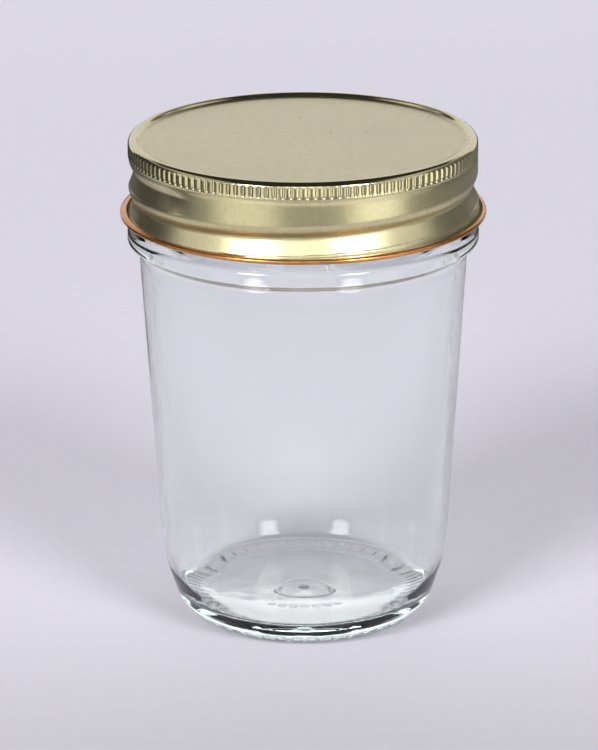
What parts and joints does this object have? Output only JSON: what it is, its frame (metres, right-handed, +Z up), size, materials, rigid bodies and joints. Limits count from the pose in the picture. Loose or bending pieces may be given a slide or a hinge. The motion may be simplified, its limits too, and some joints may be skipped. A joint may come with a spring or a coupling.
{
  "type": "mason jar",
  "caption": "Small tapered glass preserving jar with a threaded neck, closed by a fluted pressed-metal screw cap with a soft sealing ring.",
  "frame": {"origin": "middle of the jar's base, on the surface it stands on", "axes": "+Z up along the jar's axis; the cap is screwed fully home at rest"},
  "size_m": [0.0754, 0.0754, 0.1026],
  "materials": {
    "clear_glass": "clear pressed soda-lime glass with a faint blue-green tint in thick sections",
    "gold_lacquer": "pale gold lacquer over grained tinplate, copper-orange lacquer on the inside",
    "seal_compound": "matte cream sealing compound"
  },
  "bodies": {
    "jar": {"glass_jar": "clear_glass"},
    "cap_carrier": {"sealing_ring": "seal_compound"},
    "cap": {"screw_cap": "gold_lacquer"}
  },
  "joints": [
    {"name": "cap_lift", "type": "slide", "parent": "jar", "child": "cap_carrier", "axis": [0, 0, 1], "range_m": [0, 0.0254]},
    {"name": "cap_turn", "type": "hinge", "parent": "cap_carrier", "child": "cap", "pos_m": [0, 0, 0.0945], "axis": [0, 0, 1], "range_deg": [0, 1440]}
  ],
  "couplings": [
    {"joint": "cap_lift", "follows": "cap_turn", "m_per_rad": 0.0010106}
  ]
}
